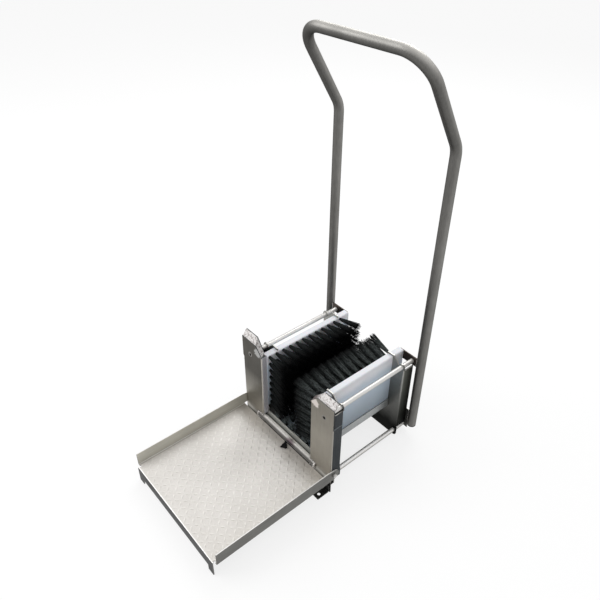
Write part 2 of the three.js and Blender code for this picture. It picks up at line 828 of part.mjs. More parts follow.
function step() {
  const rear = -stepRearGap;
  const trayFront = stepFront + stepSideSetback;
  const underside = stepTop - deckSheet;
  const tray = acrossY(bentSheet([
    [-stepOuterX, stepSideTop], [-stepOuterX, underside],
    [stepOuterX, underside], [stepOuterX, stepSideTop],
  ], deckSheet), trayFront, rear - trayFront);
  const apronX = stepOuterX - stepApronInset;
  const apron = acrossX(bentSheet([
    [trayFront + stepApronLap, stepTop], [stepFront, stepTop], [stepFront, 0],
  ], deckSheet), -apronX, apronX * 2);
  const betweenFeet = box(
    stepFootWidth - apronX, apronX - stepFootWidth,
    stepFront - cutOverrun, stepFront + deckSheet + cutOverrun, -cutOverrun, stepApronFloor,
  );
  const ear = stepEar();
  const tools = [betweenFeet];
  for (const side of [-1, 1]) {
    tools.push(barAlongZ(stepReliefRadius, side * apronX, trayFront,
      underside - cutOverrun, stepTop + stepSideHeight / 2));
    tools.push(barAlongX(hingeBoltDiameter / 2 + seatGap, hingeSetback, hingeHeight,
      side * stepInnerX - cutOverrun, side * stepInnerX + cutOverrun));
  }
  return carve(fuse(tray, apron, ear, mirrored(ear)), ...tools);
}

addPiece('step_deck', step(), checkerSteel);

// Rubber buffer on the rear edge of the step
function stepBuffer() {
  const rear = -stepRearGap - bufferInset;
  const z = stepTop + seatGap;
  return acrossY(outlineOf([
    [bufferOffset - bufferWidth / 2, z], [bufferOffset + bufferWidth / 2, z],
    [bufferOffset + bufferTopWidth / 2, z + bufferHeight],
    [bufferOffset - bufferTopWidth / 2, z + bufferHeight],
  ]), rear - bufferDepth, bufferDepth);
}

addPiece('step_buffer', stepBuffer(), blackRubber);

// Hinge: a bolt through each ear into a nut inside the guard
function hingeBolt() {
  const headX = stepOuterX + seatGap;
  const nutX = guardOuterX - guardSheet - seatGap - hingeNutHeight;
  return fuse(
    barAlongX(hingeHeadDiameter / 2, hingeSetback, hingeHeight, headX, headX + hingeHeadHeight),
    barAlongX(hingeBoltDiameter / 2, hingeSetback, hingeHeight, nutX, headX + hingeHeadHeight / 2),
  );
}

function hingeNut() {
  const outerX = guardOuterX - guardSheet - seatGap;
  const nut = new THREE.CylinderGeometry(
    hingeNutFlats / Math.sqrt(3), hingeNutFlats / Math.sqrt(3), hingeNutHeight, hexSides,
  );
  nut.rotateZ(Math.PI / 2);
  nut.translate(outerX - hingeNutHeight / 2, hingeSetback, hingeHeight);
  return carve(nut, barAlongX(hingeBoltDiameter / 2 + seatGap, hingeSetback, hingeHeight,
    outerX - hingeNutHeight - cutOverrun, outerX + cutOverrun));
}

addPair('hinge_bolt', hingeBolt(), brightSteel);
addPair('hinge_nut', hingeNut(), brightSteel);

// Floor lugs: angle brackets welded to the guards, bored to fix the scrubber down
function floorLug() {
  const outerX = guardOuterX - lugInset;
  const lug = acrossX(bentSheet([
    [-lugReach, 0], [-seatGap, 0], [-seatGap, lugRise],
  ], lugSheet), outerX - lugWidth, lugWidth);
  return carve(lug, barAlongZ(lugHoleDiameter / 2, outerX - lugWidth / 2, -lugHoleSetout,
    -cutOverrun, lugSheet + cutOverrun));
}

addPair('floor_lug', floorLug(), steel);

// The origin is on the floor, midway between the step's front and the back of the handle
scrubber.children.forEach((piece) => piece.position.set(0, -originY, 0));

export default scrubber;
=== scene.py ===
import math
import random

import bmesh
import bpy
from mathutils import Matrix, Vector


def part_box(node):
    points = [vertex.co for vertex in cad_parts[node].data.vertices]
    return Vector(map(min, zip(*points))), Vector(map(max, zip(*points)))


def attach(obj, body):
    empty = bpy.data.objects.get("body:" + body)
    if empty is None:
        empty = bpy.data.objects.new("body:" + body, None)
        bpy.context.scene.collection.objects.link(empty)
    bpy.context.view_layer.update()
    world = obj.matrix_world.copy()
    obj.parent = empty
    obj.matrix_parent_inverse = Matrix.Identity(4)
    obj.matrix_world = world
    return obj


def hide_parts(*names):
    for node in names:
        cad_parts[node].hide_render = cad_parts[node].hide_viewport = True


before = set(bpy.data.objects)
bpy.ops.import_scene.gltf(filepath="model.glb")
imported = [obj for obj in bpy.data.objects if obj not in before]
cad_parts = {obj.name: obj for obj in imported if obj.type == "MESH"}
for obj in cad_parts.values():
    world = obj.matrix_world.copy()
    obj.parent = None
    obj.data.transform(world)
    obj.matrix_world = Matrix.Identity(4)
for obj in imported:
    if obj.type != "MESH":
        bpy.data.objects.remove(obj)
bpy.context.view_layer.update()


# The camera looks down at the scrubber from its front right corner, from about eye height,
# with a lens a little longer than normal.
lens = bpy.data.cameras.new("catalogue_camera")
lens.sensor_width = 36
lens.lens = 36.306
catalogue_camera = bpy.data.objects.new("catalogue_camera", lens)
catalogue_camera.location = (0.8745, -0.6820, 1.3501)
catalogue_camera.rotation_euler = (0.934498, -0.003850, 0.868862)
bpy.context.scene.collection.objects.link(catalogue_camera)
bpy.context.scene.camera = catalogue_camera


# The studio is a pale floor under a soft bright ceiling that darkens towards the walls,
# with one broad lamp from the front left and a weaker one behind.
def node(tree, kind, inputs=None, **settings):
    made = tree.nodes.new("ShaderNode" + kind)
    for setting, value in settings.items():
        setattr(made, setting, value)
    for socket, value in (inputs or {}).items():
        if isinstance(value, bpy.types.NodeSocket):
            tree.links.new(value, made.inputs[socket])
        else:
            made.inputs[socket].default_value = value
    return made


def shader_of(name, **fixed):
    finish = bpy.data.materials.new(name)
    finish.use_nodes = True
    tree = finish.node_tree
    surface = tree.nodes["Principled BSDF"]
    for socket, value in fixed.items():
        surface.inputs[socket.replace("_", " ")].default_value = value
    return finish, tree, surface


def product(tree, first, *others):
    for other in others:
        first = node(tree, "Math", {0: first, 1: other}, operation="MULTIPLY").outputs[0]
    return first


FLOOR_REACH = 14
FLOOR_GLOW = 0.78
floor_shape = bmesh.new()
bmesh.ops.create_grid(floor_shape, x_segments=1, y_segments=1, size=FLOOR_REACH)
floor_mesh = bpy.data.meshes.new("studio_floor")
floor_shape.to_mesh(floor_mesh)
floor_shape.free()
studio_floor = bpy.data.objects.new("studio_floor", floor_mesh)
bpy.context.scene.collection.objects.link(studio_floor)
floor_paint, floor_tree, floor_surface = shader_of(
    "studio_floor_paint", Base_Color=(0.93, 0.93, 0.93, 1), Roughness=0.9, Specular_IOR_Level=0.1)
sight = node(floor_tree, "LightPath").outputs
seen = sight["Is Camera Ray"]
for other_ray in ("Is Glossy Ray", "Is Transmission Ray"):
    seen = node(floor_tree, "Math", {0: seen, 1: sight[other_ray]}, operation="MAXIMUM").outputs[0]
white = node(floor_tree, "Emission", {"Color": (1, 1, 1, 1), "Strength": 1})
floor_mix = node(floor_tree, "MixShader", {0: product(floor_tree, seen, FLOOR_GLOW),
                                           1: floor_surface.outputs[0], 2: white.outputs[0]})
floor_tree.links.new(floor_mix.outputs[0], floor_tree.nodes["Material Output"].inputs["Surface"])
floor_mesh.materials.append(floor_paint)

studio_air = bpy.data.worlds.new("studio_air")
studio_air.use_nodes = True
bpy.context.scene.world = studio_air
air = studio_air.node_tree
air_height = node(air, "SeparateXYZ", {0: node(air, "TexCoord").outputs["Generated"]})
air_ramp = node(air, "ValToRGB", {"Fac": air_height.outputs["Z"]})
for stop, (rise, shade) in zip(air_ramp.color_ramp.elements,
                               ((0.0, (0.50, 0.50, 0.51, 1)), (0.55, (0.98, 0.98, 0.98, 1)))):
    stop.position = rise
    stop.color = shade
air_light = air.nodes["Background"]
air_light.inputs["Strength"].default_value = 0.85
air.links.new(air_ramp.outputs["Color"], air_light.inputs["Color"])


def softbox(name, place, aim, size, power):
    lamp = bpy.data.lights.new(name, "AREA")
    lamp.shape = "SQUARE"
    lamp.size = size
    lamp.energy = power
    body = bpy.data.objects.new(name, lamp)
    body.location = place
    body.rotation_euler = (Vector(aim) - Vector(place)).to_track_quat("-Z", "Y").to_euler()
    bpy.context.scene.collection.objects.link(body)


softbox("front_softbox", (-2.2, -2.1, 2.2), (0, 0, 0.3), 2.6, 52)
softbox("rear_softbox", (-1.3, 2.4, 2.7), (0, 0, 0.3), 2.0, 40)
bpy.context.scene.view_settings.view_transform = "Standard"


# The cross plates are laser-cut from 3 mm stainless sheet, folded at their outer edges and
# deburred all round. Like the whole frame they are brushed, which leaves a fine grain along
# each piece under slow cloudy patches where hands and cloths have rubbed it.
def shader_group(name, inputs, outputs):
    tree = bpy.data.node_groups.new(name, "ShaderNodeTree")
    for label, kind, value in inputs:
        socket = tree.interface.new_socket(name=label, in_out="INPUT",
                                           socket_type="NodeSocket" + kind)
        if value is not None:
            socket.default_value = value
    for label, kind in outputs:
        tree.interface.new_socket(name=label, in_out="OUTPUT", socket_type="NodeSocket" + kind)
    given = tree.nodes.new("NodeGroupInput").outputs
    result = tree.nodes.new("NodeGroupOutput").inputs
    return tree, given, result


def ranged(tree, value, low, high, at_low=0.0, at_high=1.0, **settings):
    return node(tree, "MapRange", {"Value": value, "From Min": low, "From Max": high,
                                   "To Min": at_low, "To Max": at_high},
                **settings).outputs["Result"]


def mixed(tree, share, first, second):
    return node(tree, "Mix", {"Factor": share, "A": first, "B": second},
                data_type="RGBA").outputs["Result"]


def scaled(tree, colour, share):
    return node(tree, "VectorMath", {0: colour, "Scale": share}, operation="SCALE").outputs[0]


def stretched(tree, place, stretch):
    return node(tree, "VectorMath", {0: place, 1: stretch}, operation="MULTIPLY").outputs[0]


def noise(tree, place, scale, detail=3, roughness=0.5):
    return node(tree, "TexNoise", {"Vector": place, "Scale": scale, "Detail": detail,
                                   "Roughness": roughness}).outputs["Fac"]


def made_ragged(tree, value, clouds, reach):
    return node(tree, "Math", {0: clouds, 1: reach, 2: value},
                operation="MULTIPLY_ADD").outputs[0]


def axes_of(tree, vector):
    return node(tree, "SeparateXYZ", {0: vector}).outputs


def brushed_grain():
    tree, given, result = shader_group("brushed_grain", [
        ("Vector", "Vector", None), ("Stretch", "Vector", (900, 900, 14)),
        ("Dark", "Color", (0.2, 0.2, 0.19, 1)), ("Light", "Color", (0.3, 0.3, 0.29, 1)),
        ("Smoothest", "Float", 0.28), ("Roughest", "Float", 0.46), ("Relief", "Float", 0.12),
    ], [("Color", "Color"), ("Roughness", "Float"), ("Normal", "Vector")])
    streaks = noise(tree, stretched(tree, given["Vector"], given["Stretch"]), 1, 4, 0.62)
    patches = product(tree, noise(tree, given["Vector"], 14), 0.45)
    spread = ranged(tree, made_ragged(tree, patches, streaks, 0.55), 0.34, 0.66)
    scratches = node(tree, "Bump", {"Height": streaks, "Distance": 0.0003,
                                    "Strength": given["Relief"]})
    tree.links.new(mixed(tree, spread, given["Dark"], given["Light"]), result["Color"])
    tree.links.new(ranged(tree, spread, 0, 1, given["Roughest"], given["Smoothest"]),
                   result["Roughness"])
    tree.links.new(scratches.outputs["Normal"], result["Normal"])
    return tree


# Painted shade: the colour darkens towards the floor, from full at Clear Height down to Floor
# Share near the floor.
def low_painted_shade():
    tree, given, result = shader_group("low_painted_shade", [
        ("Color", "Color", (0.3, 0.3, 0.3, 1)), ("Vector", "Vector", None),
        ("Clear Height", "Float", 0.2), ("Floor Share", "Float", 0.3),
    ], [("Color", "Color")])
    height = made_ragged(tree, axes_of(tree, given["Vector"])["Z"],
                         noise(tree, given["Vector"], 30), 0.03)
    share = ranged(tree, height, 0.05, given["Clear Height"], given["Floor Share"])
    tree.links.new(scaled(tree, given["Color"], share), result["Color"])
    return tree


grain_group = brushed_grain()
low_painted_shade_group = low_painted_shade()


def skinned(tree, surface, colour, roughness, normal):
    tree.links.new(colour, surface.inputs["Base Color"])
    tree.links.new(roughness, surface.inputs["Roughness"])
    tree.links.new(normal, surface.inputs["Normal"])


def brushed_steel(name, stretch, dark, light, smoothest, roughest, relief, grazing=0.55,
                  metal=1.0):
    finish, tree, surface = shader_of(name, Metallic=metal,
                                      Specular_Tint=(grazing, grazing, grazing, 1))
    grain = node(tree, "Group", node_tree=grain_group)
    for socket, value in (("Stretch", stretch), ("Dark", (*dark, 1)), ("Light", (*light, 1)),
                          ("Smoothest", smoothest), ("Roughest", roughest), ("Relief", relief)):
        grain.inputs[socket].default_value = value
    tree.links.new(node(tree, "TexCoord").outputs["Object"], grain.inputs["Vector"])
    skinned(tree, surface, grain.outputs["Color"], grain.outputs["Roughness"],
            grain.outputs["Normal"])
    return finish


def base_of(finish):
    tree = finish.node_tree
    base = tree.nodes["Principled BSDF"].inputs["Base Color"]
    return tree, base, base.links[0].from_socket


def toned(finish, group, source, target, **shares):
    tree, base, plain = base_of(finish)
    tone = node(tree, "Group", node_tree=group)
    for socket, value in shares.items():
        tone.inputs[socket.replace("_", " ")].default_value = value
    tree.links.new(plain, tone.inputs["Color"])
    tree.links.new(node(tree, source[0]).outputs[source[1]], tone.inputs[target])
    tree.links.new(tone.outputs["Color"], base)
    return finish


def with_low_shade(finish, clear_height, floor_share):
    return toned(finish, low_painted_shade_group, ("TexCoord", "Object"), "Vector",
                 Clear_Height=clear_height, Floor_Share=floor_share)


MM = 0.001


def rounded(shape, edges, radius, segments):
    bmesh.ops.bevel(shape, geom=edges, offset=radius * MM, offset_type="OFFSET", affect="EDGES",
                    segments=segments, profile=0.5, material=-1, clamp_overlap=True)


SHARP_TURN = math.radians(40)
SAME_PLANE = math.radians(0.5)


def eased_copy(part, edge, segments=2, fold=None, fold_radius=1.2):
    shape = bmesh.new()
    shape.from_mesh(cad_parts[part].data)
    bmesh.ops.remove_doubles(shape, verts=shape.verts, dist=0.002 * MM)
    bmesh.ops.dissolve_limit(shape, angle_limit=SAME_PLANE,
                             verts=shape.verts, edges=shape.edges)
    if fold:
        rounded(shape, [e for e in shape.edges if fold(e.verts[0].co, e.verts[1].co)],
                fold_radius, 4)
    sharp = [e for e in shape.edges
             if len(e.link_faces) == 2 and e.calc_face_angle() > SHARP_TURN]
    rounded(shape, sharp, edge, segments)
    bmesh.ops.dissolve_degenerate(shape, dist=0.01 * MM, edges=shape.edges)
    return shape


def sorted_faces(shape, choose):
    for face in shape.faces:
        face.material_index = choose(face.normal, face.calc_center_median())
    return shape


WIDE_FACE = 100 * MM ** 2
GENTLE_TURN = math.radians(12)
SHADING_BREAK = math.radians(48)


def finished(name, shape, finishes, body, slot, *stands_for, wall=0):
    for face in shape.faces:
        gentlest = min(edge.calc_face_angle(math.pi) for edge in face.edges)
        face.smooth = face.calc_area() < WIDE_FACE or gentlest < GENTLE_TURN
    mesh = bpy.data.meshes.new(name)
    shape.to_mesh(mesh)
    shape.free()
    mesh.set_sharp_from_angle(angle=SHADING_BREAK)
    for finish in finishes:
        mesh.materials.append(finish)
    piece = bpy.data.objects.new(name, mesh)
    bpy.context.scene.collection.objects.link(piece)
    if wall:
        tube_wall = piece.modifiers.new("tube_wall", "SOLIDIFY")
        tube_wall.thickness = wall * MM
        tube_wall.offset = -1
    shading = piece.modifiers.new("even_shading", "WEIGHTED_NORMAL")
    shading.keep_sharp = True
    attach(piece, body)
    if stands_for:
        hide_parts(*stands_for)


# The plate steel and the rear flange steel carry painted shade that darkens them towards the
# floor.
plate_steel = with_low_shade(brushed_steel("plate_steel", (30, 900, 900), (0.30, 0.30, 0.285),
                                   (0.40, 0.40, 0.38), 0.34, 0.50, 0.08), 0.245, 0.03)
# The rear flange steel and the slate steel are darker copies of the frame steel for faces turned
# away from the light: painted shade.
shaded_rear_flange_steel = with_low_shade(brushed_steel("shaded_rear_flange_steel", (900, 900, 22),
                                         (0.125, 0.13, 0.115), (0.175, 0.18, 0.16),
                                         0.36, 0.52, 0.08), 0.25, 0.01)
shaded_flange_steel = brushed_steel("shaded_flange_steel", (900, 900, 22), (0.046, 0.052, 0.056),
                            (0.082, 0.088, 0.092), 0.34, 0.50, 0.10)
# A lighter copy of the steel on narrow cut edges stands for the light they catch: a painted
# highlight.
edge_highlight_steel = brushed_steel("edge_highlight_steel", (700, 700, 700), (0.50, 0.49, 0.46),
                               (0.70, 0.69, 0.66), 0.32, 0.46, 0.10)


# Outer flange faces take the darker copy, which is painted shade.
def plate_faces(facing, middle):
    inside_flange = 150 * MM
    outer = abs(middle.x) > inside_flange
    if abs(facing.y) > (0.6 if outer else 0.97):
        return 0
    return 1 if outer and abs(facing.x) > 0.5 else 2


def outer_fold(plate):
    low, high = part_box(plate)
    close = 0.1 * MM

    def on_fold(one, other):
        return all(abs(abs(end.x) - high.x) < close and abs(end.y - low.y) < close
                   for end in (one, other))
    return on_fold


SHEET_EDGE = 0.35
front_shape = eased_copy("front_plate", SHEET_EDGE)
finished("front_cross_plate", sorted_faces(front_shape, plate_faces),
         [plate_steel, shaded_flange_steel, edge_highlight_steel], "frame", "frame_steel", "front_plate")
rear_shape = eased_copy("rear_plate", SHEET_EDGE, fold=outer_fold("rear_plate"))
finished("rear_cross_plate", sorted_faces(rear_shape, plate_faces),
         [plate_steel, shaded_rear_flange_steel, edge_highlight_steel], "frame", "frame_steel", "rear_plate")


# The four side rods are 13 mm drawn bar, brighter than the sheet, turned flat at the ends
# with a chamfer and bored for the frame screws. Their upper sides carry a painted highlight and
# their lower sides painted shade.
# Painted highlight and shade: faces turned towards a given direction are brightened up to Near
# Share, and faces turned away are darkened down to Far Share.
def sheen_and_shade_towards():
    tree, given, result = shader_group("sheen_and_shade_towards", [
        ("Color", "Color", (0.3, 0.3, 0.3, 1)), ("Facing", "Vector", None),
        ("Towards", "Vector", (0, 0, 1)), ("Start", "Float", 0.0), ("Sharpness", "Float", 1.0),
        ("Far Share", "Float", 0.3), ("Near Share", "Float", 2.0),
    ], [("Color", "Color")])
    nearness = node(tree, "VectorMath", {0: given["Facing"], 1: given["Towards"]},
                    operation="DOT_PRODUCT").outputs["Value"]
    far_share = ranged(tree, nearness, -0.85, given["Start"], given["Far Share"])
    narrowed = node(tree, "Math", {0: ranged(tree, nearness, given["Start"], 1),
                                   1: given["Sharpness"]}, operation="POWER").outputs[0]
    near_share = ranged(tree, narrowed, 0, 1, 1, given["Near Share"])
    tree.links.new(scaled(tree, given["Color"], product(tree, far_share, near_share)),
                   result["Color"])
    return tree


sheen_and_shade_group = sheen_and_shade_towards()


def with_sheen_and_shade(finish, towards, start, sharpness, far_share, near_share):
    return toned(finish, sheen_and_shade_group, ("NewGeometry", "Normal"), "Facing", Towards=towards,
                 Start=start, Sharpness=sharpness, Far_Share=far_share, Near_Share=near_share)


def turned(profile, centre, closed=False, round_steps=48):
    shape = bmesh.new()
    corners = [shape.verts.new((centre.x + radius, y, centre.z)) for radius, y in profile]
    onward = corners[1:] + corners[:1] if closed else corners[1:]
    runs = [shape.edges.new(pair) for pair in zip(corners, onward)]
    bmesh.ops.spin(shape, geom=corners + runs, cent=centre, axis=(0, 1, 0),
                   angle=math.tau, steps=round_steps, use_merge=True)
    bmesh.ops.remove_doubles(shape, verts=shape.verts, dist=0.001 * MM)
    bmesh.ops.holes_fill(shape, edges=[e for e in shape.edges if e.is_boundary], sides=0)
    bmesh.ops.recalc_face_normals(shape, faces=shape.faces)
    return shape


def bored_rod(low, high):
    radius, bore, depth, chamfer = 6.5 * MM, 3.3 * MM, 16 * MM, 0.8 * MM
    return turned([
        (bore, low.y + depth), (bore, low.y), (radius - chamfer, low.y),
        (radius, low.y + chamfer), (radius, high.y - chamfer), (radius - chamfer, high.y),
        (bore, high.y), (bore, high.y - depth),
    ], (low + high) / 2)


SIDES = (("right", 1), ("left", -1))
rod_steel = with_sheen_and_shade(brushed_steel("rod_steel", (900, 25, 900), (0.56, 0.55, 0.53),
                                   (0.66, 0.65, 0.63), 0.36, 0.48, 0.05, metal=0.65),
                     (0.6, 0, 0.8), 0.6, 1, 0.04, 1.35)
low_rod_steel = with_sheen_and_shade(brushed_steel("low_rod_steel", (900, 25, 900), (0.45, 0.44, 0.42),
                                       (0.53, 0.52, 0.50), 0.36, 0.48, 0.05, metal=0.65),
                         (0.35, 0, 0.937), 0.6, 1, 0.04, 2.6)
for side, sign in SIDES:
    for level, steel in (("top", rod_steel), ("bottom", low_rod_steel)):
        finished(f"{level}_side_rod_{side}", bored_rod(*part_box(f"{level}_rod_{side}")),
                 [steel], "frame", "bright_steel", f"{level}_rod_{side}")


# The guards are folded from 2.5 mm sheet and brushed upright. They cover the brush ends,
# their tops flare back, and their upper inner corners carry a painted highlight.
UPPER_CORNER_GLINT = (0.1155, 0.0128, 0.283)


def guard_finish():
    finish = brushed_steel("guard_steel", (900, 900, 22), (0.262, 0.250, 0.224),
                           (0.305, 0.292, 0.264), 0.34, 0.50, 0.06)
    tree, base, brushed = base_of(finish)
    place = node(tree, "TexCoord").outputs["Object"]
    where = axes_of(tree, place)
    # Painted light and shade: the left guard is darker higher up, both guards are lighter low
    # down, and near the foot they turn almost black under the deck.
    right_hand = ranged(tree, where["X"], -0.1, 0.1)
    side_share = node(tree, "Mix", {
        "Factor": right_hand, "A": ranged(tree, where["Z"], 0.09, 0.20, 1.6, 0.42),
        "B": ranged(tree, where["Z"], 0.09, 0.28, 1.6, 1.02)}).outputs["Result"]
    foot_share = ranged(tree, where["Z"], 0.034, 0.050, 0.05)
    lit_and_shaded = scaled(tree, brushed, product(tree, side_share, foot_share))
    # Painted highlight: a ragged pale patch at the upper inner corners, much brighter on the right
    # guard than on the left.
    either_side = node(tree, "VectorMath", {0: place}, operation="ABSOLUTE").outputs[0]
    off_glint = node(tree, "VectorMath", {0: either_side, 1: UPPER_CORNER_GLINT},
                    operation="DISTANCE").outputs["Value"]
    glint_share = ranged(tree, made_ragged(tree, off_glint, noise(tree, place, 190), 0.016),
                    0.019, 0.023, 1, 0)
    glint_tone = mixed(tree, right_hand, (0.46, 0.46, 0.45, 1), (0.85, 0.80, 0.78, 1))
    tree.links.new(mixed(tree, glint_share, lit_and_shaded, glint_tone), base)
    return finish


guard_steel = guard_finish()
# A lighter, bluish copy of the guard steel for the guards' inner returns: painted light.
lit_return_steel = brushed_steel("lit_return_steel", (900, 900, 22), (0.62, 0.61, 0.65),
                             (0.78, 0.77, 0.81), 0.42, 0.56, 0.08, metal=0.5)
# A lighter copy of the guard steel for the flared lips, standing for the light they catch from
# above: a painted highlight.
lit_lip_steel = brushed_steel("lit_lip_steel", (22, 900, 900), (0.48, 0.465, 0.455),
                          (0.60, 0.585, 0.575), 0.42, 0.54, 0.10, metal=0.5)


def bend_marked(finish, bend, clear):
    tree, base, clean = base_of(finish)
    place = node(tree, "TexCoord").outputs["Object"]
    where = axes_of(tree, place)
    height = made_ragged(tree, where["Z"], noise(tree, place, 90, 4), 0.012)
    low = ranged(tree, height, bend + 0.006, clear + 0.006, 0.95, 0)
    right_hand = ranged(tree, where["X"], -0.1, 0.1, 0.1)
    burnt = ranged(tree, noise(tree, place, 210), 0.53, 0.60, 0, 0.75)
    marks = node(tree, "Math", {0: product(tree, low, right_hand), 1: burnt},
                 operation="MAXIMUM").outputs[0]
    tree.links.new(mixed(tree, marks, clean, (0.17, 0.14, 0.135, 1)), base)


bend_marked(lit_lip_steel, 0.294, 0.308)


def guard_faces(facing, middle):
    below_lip = 270 * MM
    mid_guard = 140 * MM
    if facing.z > 0.3 and middle.z > below_lip:
        return 3 if facing.y < -0.15 else 1
    if abs(facing.x) > 0.97:
        return 1 if abs(middle.x) > mid_guard else 2
    inward = -facing.x if middle.x > 0 else facing.x
    if abs(facing.y) < 0.97 and inward > 0.2:
        return 4
    return 1 if facing.z > 0.7 else 0


for side, sign in SIDES:
    guard = sorted_faces(eased_copy(f"front_guard_{side}", 0.3), guard_faces)
    finished(f"flared_guard_{side}", guard,
             [guard_steel, shaded_flange_steel, lit_return_steel, lit_lip_steel, edge_highlight_steel],
             "frame", "frame_steel", f"front_guard_{side}")


# A flat web and a round bar run between the guards' feet. The web closes the front of the
# sole brush, and a near-black strip along its lower edge is a sheet of painted shade under the
# bar. The bar is tube with a painted highlight along its top, welded in at both ends with a ring
# of beads.
def weld_seam(shape, places, radius):
    hand = random.Random(len(places))
    for place in places:
        bmesh.ops.create_icosphere(shape, subdivisions=2,
                                   radius=radius * hand.uniform(0.75, 1.2) * MM,
                                   matrix=Matrix.Translation(place))


def sheet_faces(facing, middle):
    return 0 if abs(facing.y) > 0.7 else 1


web_steel = brushed_steel("web_steel", (20, 900, 900), (0.30, 0.305, 0.285),
                          (0.40, 0.405, 0.38), 0.38, 0.52, 0.08, metal=0.5)
shade_strip_steel = brushed_steel("shade_strip_steel", (20, 900, 900), (0.012, 0.012, 0.011),
                               (0.030, 0.030, 0.028), 0.45, 0.6, 0.08)
# The bar's top carries a painted highlight from this group.
bar_steel = with_sheen_and_shade(brushed_steel("bar_steel", (25, 900, 900), (0.132, 0.127, 0.12),
                                   (0.168, 0.162, 0.153), 0.36, 0.48, 0.05, grazing=0.9,
                                   metal=0.65),
                     (0, 0.26, 0.966), 0.5, 2, 1.3, 8)
weld_steel = brushed_steel("weld_steel", (260, 260, 260), (0.26, 0.24, 0.225),
                           (0.92, 0.89, 0.86), 0.26, 0.44, 0.2, metal=0.6)


# Painted reflection: a dark purple smudge on the bar where the black buffer is mirrored in it.
def painted_buffer_reflection(finish, centre, reach):
    tree, base, clean = base_of(finish)
    place = node(tree, "TexCoord").outputs["Object"]
    away = node(tree, "VectorMath", {0: place, 1: centre}, operation="DISTANCE").outputs["Value"]
    reflection_share = ranged(tree, made_ragged(tree, away, noise(tree, place, 160), 0.008),
                  reach * 0.6, reach * 1.3, 0.9, 0)
    tree.links.new(mixed(tree, reflection_share, clean, (0.075, 0.052, 0.060, 1)), base)


painted_buffer_reflection(bar_steel, (0.0215, 0.0085, 0.056), 0.019)
finished("foot_web", sorted_faces(eased_copy("front_web", SHEET_EDGE), sheet_faces),
         [web_steel, edge_highlight_steel], "frame", "frame_steel", "front_web")

low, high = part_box("front_web")
turn_reach = 17 * MM
turn_gauge = 2.5 * MM
turn_overlap = 0.3 * MM
turn_middle = Vector((0, low.y + turn_overlap - turn_reach / 2, low.z + turn_gauge / 2))
# The near-black strip is a sheet of painted shade under the bar.
shade_strip = bmesh.new()
bmesh.ops.create_cube(shade_strip, size=1, matrix=Matrix.Translation(turn_middle)
                      @ Matrix.Diagonal((high.x - low.x, turn_reach, turn_gauge, 1)))
rounded(shade_strip, shade_strip.edges[:], SHEET_EDGE, 2)
finished("foot_web_shade_strip", shade_strip, [shade_strip_steel], "frame", "frame_steel")

TUBE_STEPS = 40
low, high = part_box("front_bar")
bar_middle = (low + high) / 2
bar_radius = (high.z - low.z) / 2
bar_shape = bmesh.new()
bmesh.ops.create_circle(bar_shape, segments=TUBE_STEPS, radius=bar_radius,
                        matrix=Matrix.Translation((low.x, bar_middle.y, bar_middle.z))
                        @ Matrix.Rotation(math.pi / 2, 4, "Y"))
bar_end = bmesh.ops.extrude_edge_only(bar_shape, edges=bar_shape.edges[:])["geom"]
bmesh.ops.translate(bar_shape, vec=(high.x - low.x, 0, 0),
                    verts=[v for v in bar_end if isinstance(v, bmesh.types.BMVert)])
bmesh.ops.recalc_face_normals(bar_shape, faces=bar_shape.faces)
finished("foot_bar", bar_shape, [bar_steel], "frame", "bright_steel", "front_bar", wall=2)

guard_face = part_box("front_guard_right")[0].y
sunk = bar_middle.y - guard_face
seam_rise = math.sqrt(bar_radius ** 2 - sunk ** 2)
RING_BEADS = 11
SEAM_BEADS = 8
seam_pitch = 2.6 * MM
bar_welds = bmesh.new()
ring_start = math.asin(sunk / bar_radius)
ring_step = (math.pi - 2 * ring_start) / (RING_BEADS - 1)
for side, sign in SIDES:
    bar_tip = sign * high.x
    round_tip = [ring_start + i * ring_step for i in range(RING_BEADS)]
    weld_seam(bar_welds, [Vector((bar_tip, bar_middle.y - bar_radius * math.sin(turn),
                                  bar_middle.z + bar_radius * math.cos(turn)))
                          for turn in round_tip], radius=2.8)
    for above in (1, -1):
        weld_seam(bar_welds, [Vector((bar_tip - sign * (i + 1) * seam_pitch, guard_face,
                                      bar_middle.z + above * seam_rise))
                              for i in range(SEAM_BEADS)], radius=2.3)
finished("bar_end_welds", bar_welds, [weld_steel], "frame", "bright_steel")


# The handle is one length of 25 mm tube, cold bent at two easy bends and two tight top
# corners. Its upper side carries a painted highlight and its underside painted shade.
handle_steel = with_sheen_and_shade(brushed_steel("handle_steel", (700, 700, 60), (0.135, 0.132, 0.125),
                                      (0.177, 0.173, 0.164), 0.42, 0.56, 0.06),
                        (0.3, 0.1, 0.949), 0.05, 1.3, 0.36, 4.6)
leg_low, leg_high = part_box("handle_tube")
tube_radius = 12.5 * MM
easy_bend = 60 * MM
tight_bend = 68 * MM
leg_x = leg_high.x - tube_radius
leg_y = leg_high.y - tube_radius
top_z = leg_high.z - tube_radius
top_y = leg_low.y + tube_radius
bend_z = 861 * MM
tube_route = [
    Vector((-leg_x, leg_y, leg_low.z)), Vector((-leg_x, leg_y, bend_z)),
    Vector((-leg_x, top_y, top_z)), Vector((leg_x, top_y, top_z)),
    Vector((leg_x, leg_y, bend_z)), Vector((leg_x, leg_y, leg_low.z)),
]
tube_bends = [easy_bend, tight_bend, tight_bend, easy_bend]
tube = bmesh.new()
bmesh.ops.create_circle(tube, segments=TUBE_STEPS, radius=tube_radius,
                        matrix=Matrix.Translation(tube_route[0]))
tube_end = tube.edges[:]


def draw_on(shape, rim, travel):
    drawn = bmesh.ops.extrude_edge_only(shape, edges=rim)["geom"]
    bmesh.ops.translate(shape, vec=travel,
                        verts=[part for part in drawn if isinstance(part, bmesh.types.BMVert)])
    return [part for part in drawn if isinstance(part, bmesh.types.BMEdge)
            and len(part.link_faces) == 1]


